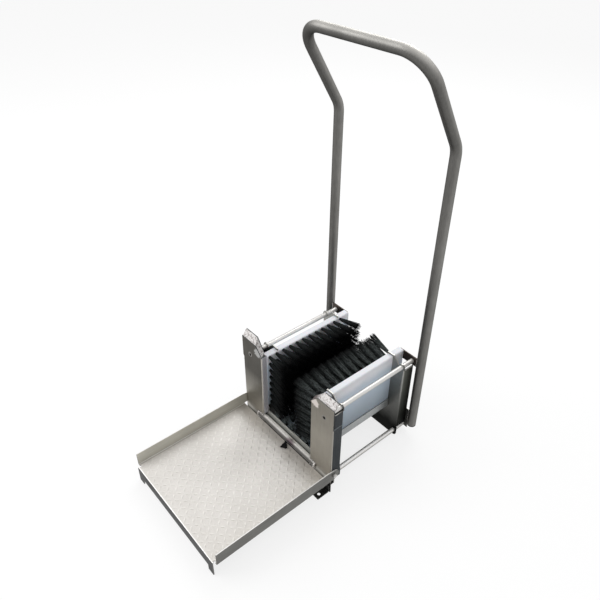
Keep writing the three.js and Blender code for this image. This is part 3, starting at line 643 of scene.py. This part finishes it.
reached = tube_route[0]
for before, corner, after, radius in zip(tube_route, tube_route[1:], tube_route[2:], tube_bends):
    inward = (corner - before).normalized()
    onward = (after - corner).normalized()
    turn = inward.angle(onward)
    bend_start = corner - inward * radius * math.tan(turn / 2)
    tube_end = draw_on(tube, tube_end, bend_start - reached)
    hinge_axis = inward.cross(onward).normalized()
    bend_centre = bend_start + hinge_axis.cross(inward).normalized() * radius
    bent = bmesh.ops.spin(tube, geom=tube_end, cent=bend_centre, axis=hinge_axis, angle=turn,
                          steps=max(6, round(math.degrees(turn) / 6)))
    tube_end = [part for part in bent["geom_last"] if isinstance(part, bmesh.types.BMEdge)]
    reached = corner + onward * radius * math.tan(turn / 2)
tube_end = draw_on(tube, tube_end, tube_route[-1] - reached)
bmesh.ops.recalc_face_normals(tube, faces=tube.faces)
finished("bent_handle", tube, [handle_steel], "frame", "handle_steel", "handle_tube", wall=2)


# Foot plugs and the step's buffer are moulded black rubber with soft edges and the faint
# pebbled skin of the mould.
def moulded_rubber(name, colour):
    finish, tree, surface = shader_of(name, Specular_IOR_Level=0.15)
    pebbles = noise(tree, node(tree, "TexCoord").outputs["Object"], 900, 2)
    tone = mixed(tree, pebbles, (*[c * 0.7 for c in colour], 1), (*[c * 1.6 for c in colour], 1))
    relief = node(tree, "Bump", {"Height": pebbles, "Strength": 0.25, "Distance": 0.0003})
    skinned(tree, surface, tone, ranged(tree, pebbles, 0, 1, 0.55, 0.8),
            relief.outputs["Normal"])
    return finish


black_rubber = moulded_rubber("black_rubber", (0.0035, 0.003, 0.003))
for side, sign in SIDES:
    finished(f"foot_plug_{side}", eased_copy(f"leg_plug_{side}", 0.8, 3), [black_rubber],
             "frame", "black_rubber", f"leg_plug_{side}")


# Brackets at the top and a web at the foot tie the handle's legs to the rods. Both are
# 3 mm sheet, cut to sit round the tube and stitched to it with a row of weld beads.
bracket_steel = brushed_steel("bracket_steel", (900, 900, 30), (0.070, 0.058, 0.052),
                              (0.115, 0.098, 0.090), 0.36, 0.52, 0.08)
# The handle web steel carries painted shade that darkens it strongly towards the floor.
web_dark_steel = with_low_shade(brushed_steel("web_dark_steel", (30, 900, 900), (0.075, 0.076, 0.070),
                                      (0.115, 0.116, 0.108), 0.36, 0.52, 0.08), 0.12, 0.5)
for side, sign in SIDES:
    finished(f"handle_bracket_{side}", eased_copy(f"leg_bracket_{side}", SHEET_EDGE),
             [bracket_steel], "frame", "frame_steel", f"leg_bracket_{side}")
finished("handle_web", sorted_faces(eased_copy("rear_web", SHEET_EDGE), sheet_faces),
         [web_dark_steel, edge_highlight_steel], "frame", "frame_steel", "rear_web")

bracket_low, bracket_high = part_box("leg_bracket_right")
web_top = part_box("rear_web")[1].z
bead_pitch = 2.1 * MM
seams = ((bracket_low.z, bracket_high.z), (leg_low.z + 4 * MM, web_top))
leg_welds = bmesh.new()
for side, sign in SIDES:
    for bottom, top in seams:
        weld_seam(leg_welds, [
            Vector((sign * (leg_x - tube_radius), bracket_low.y, bottom + (i + 0.5) * bead_pitch))
            for i in range(int((top - bottom) / bead_pitch))], radius=1.6)
finished("leg_welds", leg_welds, [weld_steel], "frame", "bright_steel")


# Two rails folded from thin bright strip run between the cross plates, one under each side
# brush. They carry the length of its block and show as a bright line along its foot, with a
# painted highlight on their top edges.
rail_steel = brushed_steel("rail_steel", (900, 25, 900), (0.38, 0.395, 0.395),
                           (0.50, 0.515, 0.515), 0.36, 0.50, 0.06, metal=0.8)


# Upward rail edges take the lighter edge copy, which is a painted highlight.
def rail_faces(facing, middle):
    return 0 if abs(facing.x) > 0.7 or facing.z < 0.7 else 1


for side, sign in SIDES:
    rail = sorted_faces(eased_copy(f"side_rail_{side}", 0.3), rail_faces)
    finished(f"brush_rail_{side}", rail, [rail_steel, edge_highlight_steel],
             "frame", "bright_steel", f"side_rail_{side}")


# Frame screws have hexagon sockets. In the guards they sit in thin cup washers, and at the
# rear their round heads stand proud of the brackets.
screw_steel = brushed_steel("screw_steel", (600, 600, 600), (0.16, 0.155, 0.145),
                            (0.26, 0.255, 0.24), 0.34, 0.46, 0.08)
# The near-black socket faces are painted shade in the hexagon recess.
socket_shade_steel = brushed_steel("socket_shade_steel", (600, 600, 600), (0.012, 0.012, 0.011),
                             (0.030, 0.030, 0.028), 0.45, 0.6, 0.08)
washer_steel = brushed_steel("washer_steel", (600, 600, 600), (0.26, 0.25, 0.235),
                             (0.40, 0.385, 0.365), 0.34, 0.46, 0.08, metal=0.8)


def cup_washer(screw):
    low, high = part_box(screw)
    face = low.y
    return turned([(5.0 * MM, face + 0.2 * MM), (5.3 * MM, face - 0.5 * MM),
                   (7.0 * MM, face - 0.5 * MM), (7.7 * MM, face + 0.2 * MM)],
                  (low + high) / 2, closed=True, round_steps=32)


def socket_faces(screw):
    low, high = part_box(screw)
    axis = (low + high) / 2
    socket_reach = 2.35 * MM

    def in_socket(facing, middle):
        return int(math.hypot(middle.x - axis.x, middle.z - axis.z) < socket_reach)
    return in_socket


for side, sign in SIDES:
    for level in ("top", "bottom"):
        finished(f"cup_washer_{level}_{side}", cup_washer(f"guard_screw_{level}_{side}"),
                 [washer_steel], "frame", "bright_steel")
        for group, edge in (("guard_screw", 0.15), ("rear_screw", 0.3)):
            screw = f"{group}_{level}_{side}"
            head = sorted_faces(eased_copy(screw, edge), socket_faces(screw))
            finished(f"{group}_head_{level}_{side}", head, [screw_steel, socket_shade_steel],
                     "frame", "bright_steel", screw)


# Brush blocks are sawn from white polyethylene board. The faces are matt with faint saw
# lines along their length, and below the rods they are painted a darker blue-grey as shade.
def sawn_plastic(name, colour, low_shade_tint):
    finish, tree, surface = shader_of(name, Specular_IOR_Level=0.4, Subsurface_Weight=0.08,
                                      Subsurface_Scale=0.004)
    place = node(tree, "TexCoord").outputs["Object"]
    saw_lines = noise(tree, stretched(tree, place, (500, 12, 500)), 1)
    clouds = noise(tree, place, 18, 4)
    clean = mixed(tree, clouds, (*[c * 0.94 for c in colour], 1), (*colour, 1))
    # Painted shade: faces that point up are painted a little darker to temper the light falling on
    # them.
    facing = axes_of(tree, node(tree, "NewGeometry").outputs["Normal"])["Z"]
    tops_dimmed = scaled(tree, clean, ranged(tree, facing, 0.6, 0.95, 1, 0.88))
    height = made_ragged(tree, axes_of(tree, place)["Z"], clouds, 0.02)
    # Painted shade: below the rods the board turns blue-grey and darkens further towards the
    # floor.
    shade_share = ranged(tree, height, 0.235, 0.272, 1, 0, interpolation_type="SMOOTHSTEP")
    shaded_tone = scaled(tree, low_shade_tint, ranged(tree, height, 0.12, 0.235, 0.42))
    relief = node(tree, "Bump", {"Height": saw_lines, "Strength": 0.12, "Distance": 0.0003})
    skinned(tree, surface, mixed(tree, shade_share, tops_dimmed, shaded_tone),
            ranged(tree, saw_lines, 0, 1, 0.42, 0.6), relief.outputs["Normal"])
    return finish


white_board = sawn_plastic("white_board", (0.84, 0.85, 0.89), (0.52, 0.61, 0.70))
for block in ("side_block_right", "side_block_left", "sole_block"):
    finished(block.replace("block", "brush_board"), eased_copy(block, 0.6), [white_board],
             "frame", "white_plastic", block)


# Bristles are stiff black nylon, set in tufts of a few dozen into drilled holes. Each tuft
# leaves its hole as a tight bundle and spreads, so the tips close into one dark mass.
def bristle_nylon(name):
    finish, tree, surface = shader_of(name, Specular_IOR_Level=0.05)
    place = node(tree, "TexCoord").outputs["Object"]
    where = axes_of(tree, place)
    strands = noise(tree, stretched(tree, place, (90, 700, 700)), 1, 2)
    streaked = ranged(tree, strands, 0.36, 0.62)
    # Painted light: strands away from the tips are painted lighter grey, most on the right brush
    # and high up, so the left brush and the tips stay black.
    off_middle = node(tree, "Math", {0: where["X"]}, operation="ABSOLUTE").outputs[0]
    lit_share = product(tree, ranged(tree, off_middle, 0.028, 0.062),
                   ranged(tree, where["X"], -0.03, 0.03, 0.28),
                   ranged(tree, where["Z"], 0.10, 0.27, 0.45), streaked)
    lit_and_shaded_tone = mixed(tree, lit_share, (0.0014, 0.0016, 0.0018, 1), (0.098, 0.112, 0.110, 1))
    # The upper tips of the sole's front tufts are painted pale grey.
    pale_tip_share = product(tree, ranged(tree, where["Z"], 0.086, 0.092, 1, 0),
                    ranged(tree, where["Z"], 0.066, 0.086),
                    ranged(tree, where["Y"], 0.036, 0.075, 1, 0.1), streaked)
    tree.links.new(mixed(tree, pale_tip_share, lit_and_shaded_tone, (0.34, 0.39, 0.40, 1)),
                   surface.inputs["Base Color"])
    tree.links.new(ranged(tree, strands, 0, 1, 0.36, 0.6), surface.inputs["Roughness"])
    return finish


black_nylon = bristle_nylon("black_nylon")
GOLDEN_TURN = math.pi * (3 - math.sqrt(5))


def upright_to(direction):
    return direction.to_track_quat("Z", "Y").to_matrix().to_4x4()


def tuft(seed, count, root, spread, length, thickness):
    chance = random.Random(seed)
    bundle = bmesh.new()
    for number in range(count):
        turn = number * GOLDEN_TURN + chance.uniform(-0.3, 0.3)
        share = math.sqrt((number + 0.5) / count)
        outward = Vector((math.cos(turn), math.sin(turn), 0))
        foot = outward * root * share
        tip = outward * spread * share * chance.uniform(0.8, 1.2)
        tip.z = length * chance.uniform(0.94, 1.0)
        run = tip - foot
        place = Matrix.Translation((foot + tip) / 2) @ upright_to(run)
        bmesh.ops.create_cone(bundle, cap_ends=True, segments=3, radius1=thickness,
                              radius2=thickness * 0.7, depth=run.length, matrix=place)
    mesh = bpy.data.meshes.new("tuft")
    bundle.to_mesh(mesh)
    bundle.free()
    return mesh


def plant(brush, bundle, foot, lean):
    planted = bundle.copy()
    planted.transform(Matrix.Translation(foot) @ upright_to(lean))
    brush.from_mesh(planted)
    bpy.data.meshes.remove(planted)


def planted_brush(name, brush, stands_for):
    mesh = bpy.data.meshes.new(name)
    brush.to_mesh(mesh)
    brush.free()
    mesh.materials.append(black_nylon)
    piece = bpy.data.objects.new(name, mesh)
    bpy.context.scene.collection.objects.link(piece)
    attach(piece, "frame")
    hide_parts(stands_for)


COLUMNS = 12
SIDE_ROWS = 8
SOLE_ROWS = 5
first_column = 38.75 * MM
column_pitch = 23.3 * MM
lowest_row = 103 * MM
row_pitch = 23.7 * MM
board_face = 97.5 * MM
strand = 0.6 * MM
rear_splay = 0.04
front_splay = 0.12
top_splay = 0.14
side_scatter = 0.03
side_tufts = [tuft(seed, 84, 3.6 * MM, 12 * MM, 74.5 * MM, strand) for seed in range(6)]
for side, sign in SIDES:
    chance = random.Random(41 + sign)
    brush = bmesh.new()
    for column in range(COLUMNS):
        along = column / (COLUMNS - 1) * 2 - 1
        for row in range(SIDE_ROWS):
            up = row / (SIDE_ROWS - 1)
            foot = Vector((sign * board_face, first_column + column * column_pitch,
                           lowest_row + row * row_pitch))
            end_splay = rear_splay if along > 0 else front_splay
            lean = Vector((-sign,
                           along ** 3 * end_splay + chance.uniform(-side_scatter, side_scatter),
                           up ** 4 * top_splay + chance.uniform(-side_scatter, side_scatter)))
            plant(brush, chance.choice(side_tufts), foot, lean)
    planted_brush(f"side_brush_{side}", brush, f"side_bristles_{side}")

sole_row_pitch = 29 * MM
sole_face = 59.8 * MM
sole_splay = 0.14
sole_scatter = 0.05
sole_tufts = [tuft(seed, 70, 3.4 * MM, 11 * MM, 29.5 * MM, strand) for seed in range(10, 16)]
chance = random.Random(7)
brush = bmesh.new()
for column in range(COLUMNS):
    along = column / (COLUMNS - 1) * 2 - 1
    for row in range(SOLE_ROWS):
        foot = Vector(((row - (SOLE_ROWS - 1) / 2) * sole_row_pitch,
                       first_column + column * column_pitch, sole_face))
        lean = Vector((chance.uniform(-sole_scatter, sole_scatter),
                       along ** 3 * sole_splay + chance.uniform(-sole_scatter, sole_scatter), 1))
        plant(brush, chance.choice(sole_tufts), foot, lean)
planted_brush("sole_brush", brush, "sole_bristles")


# The step is folded from stainless checker plate: raised lozenges on the walking face, and
# plain faces on the folded sides, the front apron and the underside, painted darker as shade;
# upward edges are painted lighter as a highlight.
# Painted light and shade on the walking face: brighter towards the rear, darker brown at the rear
# edge where the frame shades it, and darker still in the corners along the side walls.
def tread_light_and_shade():
    tree, given, result = shader_group("tread_light_and_shade", [
        ("Color", "Color", (0.7, 0.7, 0.7, 1)), ("Vector", "Vector", None),
        ("Polish", "Float", 1.2), ("Rear Soil", "Float", 0.8), ("Side Soil", "Float", 0.6),
    ], [("Color", "Color")])
    where = axes_of(tree, given["Vector"])
    lit_rear = scaled(tree, given["Color"],
                    ranged(tree, where["Y"], -0.19, -0.07, 1, given["Polish"]))
    rear = made_ragged(tree, where["Y"], noise(tree, given["Vector"], 16), 0.05)
    rear_shaded = mixed(tree, ranged(tree, rear, -0.030, 0.026, 0, given["Rear Soil"],
                                interpolation_type="SMOOTHSTEP"),
                   lit_rear, (0.38, 0.35, 0.31, 1))
    off_middle = node(tree, "Math", {0: where["X"]}, operation="ABSOLUTE").outputs[0]
    wall_corner_shaded = mixed(tree, ranged(tree, off_middle, 0.1765, 0.1820, 0, given["Side Soil"]),
                     rear_shaded, (0.20, 0.165, 0.13, 1))
    tree.links.new(wall_corner_shaded, result["Color"])
    return tree


tread_shading_group = tread_light_and_shade()


def with_tread_shading(finish, brightening, rear_shade, side_shade):
    return toned(finish, tread_shading_group, ("TexCoord", "Object"), "Vector", Polish=brightening,
                 Rear_Soil=rear_shade, Side_Soil=side_shade)


deck_steel = with_tread_shading(brushed_steel("deck_steel", (420, 420, 420), (0.64, 0.615, 0.58),
                                   (0.74, 0.715, 0.68), 0.42, 0.56, 0.08, grazing=0.9,
                                   metal=0.22), 1.17, 0.85, 0.65)
lozenge_steel = with_tread_shading(brushed_steel("lozenge_steel", (420, 420, 420), (0.71, 0.685, 0.65),
                                      (0.81, 0.785, 0.75), 0.30, 0.42, 0.05, grazing=0.9,
                                      metal=0.3), 1.17, 0.85, 0.65)
shaded_wall_steel = brushed_steel("shaded_wall_steel", (420, 25, 420), (0.50, 0.485, 0.43),
                           (0.63, 0.615, 0.545), 0.40, 0.55, 0.08, grazing=0.8, metal=0.35)
shaded_fold_steel = brushed_steel("shaded_fold_steel", (25, 25, 900), (0.17, 0.168, 0.16),
                           (0.25, 0.248, 0.235), 0.34, 0.48, 0.08)
shaded_apron_steel = brushed_steel("shaded_apron_steel", (20, 900, 900), (0.105, 0.105, 0.105),
                            (0.165, 0.165, 0.165), 0.36, 0.50, 0.08)
step_edge_highlight_steel = brushed_steel("step_edge_highlight_steel", (420, 420, 420), (0.82, 0.81, 0.79),
                                (0.92, 0.91, 0.89), 0.30, 0.42, 0.05, grazing=0.9, metal=0.3)
deck_z = 48.7 * MM


def step_faces(facing, middle):
    if facing.z > 0.9 and abs(middle.z - deck_z) < 1 * MM:
        return 0
    if abs(facing.x) > 0.7 and facing.x * middle.x < 0 and middle.z > deck_z:
        return 1
    if facing.y < -0.7:
        return 3
    return 4 if facing.z > 0.7 else 2


finished("checker_step", sorted_faces(eased_copy("step_deck", SHEET_EDGE), step_faces),
         [deck_steel, shaded_wall_steel, shaded_fold_steel, shaded_apron_steel, step_edge_highlight_steel],
         "step", "checker_steel", "step_deck")

LOZENGE_ROWS = 23
LOZENGE_COLUMNS = 24
lozenge_pitch = 15 * MM
lozenge_reach = 8.2 * MM
lozenge_breadth = 3 * MM
lozenge_depth = 1.6 * MM
lozenge_taper = 0.45
first_row = 0.7
deck_rear = 5.75 * MM
lozenge = bmesh.new()
bmesh.ops.create_cone(lozenge, cap_ends=True, segments=12, radius1=1, radius2=0.7,
                      depth=lozenge_depth)
for corner in lozenge.verts:
    corner.co.y *= 1 - lozenge_taper * abs(corner.co.x)
bmesh.ops.scale(lozenge, vec=(lozenge_reach, lozenge_breadth, 1), verts=lozenge.verts)
lozenge_mesh = bpy.data.meshes.new("lozenge")
lozenge.to_mesh(lozenge_mesh)
lozenge.free()
pattern = bmesh.new()
for row in range(LOZENGE_ROWS):
    for column in range(LOZENGE_COLUMNS):
        x = (column - (LOZENGE_COLUMNS - 1) / 2) * lozenge_pitch
        y = deck_rear - (row + first_row) * lozenge_pitch
        stamped = lozenge_mesh.copy()
        lean = math.pi / 4 if (row + column) % 2 else -math.pi / 4
        stamped.transform(Matrix.Translation((x, y, deck_z)) @ Matrix.Rotation(lean, 4, "Z"))
        pattern.from_mesh(stamped)
        bpy.data.meshes.remove(stamped)
finished("checker_lozenges", pattern, [lozenge_steel], "step", "checker_steel")


# The buffer is a small black rubber clip on the step's rear edge, torn at its front corner.
# It keeps the folded step off the frame, and its reflection is painted on the bar as a dark
# smudge.
CLIP_OUTLINE = [(-8.5, 9.5), (-3.3, 10.3), (5.7, 4.7), (12.5, 0.3), (12.2, -6.0), (5.5, -7.8),
                (0.4, -10.7), (-0.8, -14.0), (-2.8, -5.3), (-3.6, 2.3)]
buffer_low, buffer_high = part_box("step_buffer")
buffer_middle = (buffer_low + buffer_high) / 2
clip_gauge = 5.5 * MM
clip = bmesh.new()
clip_face = clip.faces.new([
    clip.verts.new((buffer_middle.x + x * MM, buffer_middle.y + y * MM, buffer_low.z))
    for x, y in CLIP_OUTLINE])
raised = bmesh.ops.extrude_face_region(clip, geom=[clip_face])["geom"]
bmesh.ops.translate(clip, vec=(0, 0, clip_gauge),
                    verts=[part for part in raised if isinstance(part, bmesh.types.BMVert)])
bmesh.ops.recalc_face_normals(clip, faces=clip.faces)
rounded(clip, clip.edges[:], 0.8, 2)
finished("rubber_buffer", clip, [black_rubber], "step", "black_rubber", "step_buffer")


# The step turns on a bright steel bolt through each ear. Each bolt runs through the guard
# into a lock nut inside it, which is out of reach once the frame is together.
for side, sign in SIDES:
    finished(f"hinge_bolt_head_{side}", eased_copy(f"hinge_bolt_{side}", 0.4), [rod_steel],
             "frame", "bright_steel", f"hinge_bolt_{side}")
    finished(f"hinge_lock_nut_{side}", eased_copy(f"hinge_nut_{side}", 0.3), [rod_steel],
             "frame", "bright_steel", f"hinge_nut_{side}")


# Angle lugs at the guards' feet are bored so that the scrubber can be bolted to the floor.
# They are left as bent; their near-black colour is painted shade under the step.
shaded_lug_steel = brushed_steel("shaded_lug_steel", (25, 900, 900), (0.046, 0.046, 0.044),
                          (0.088, 0.088, 0.084), 0.38, 0.54, 0.08)
for side, sign in SIDES:
    finished(f"anchor_lug_{side}", eased_copy(f"floor_lug_{side}", 0.4), [shaded_lug_steel],
             "frame", "frame_steel", f"floor_lug_{side}")
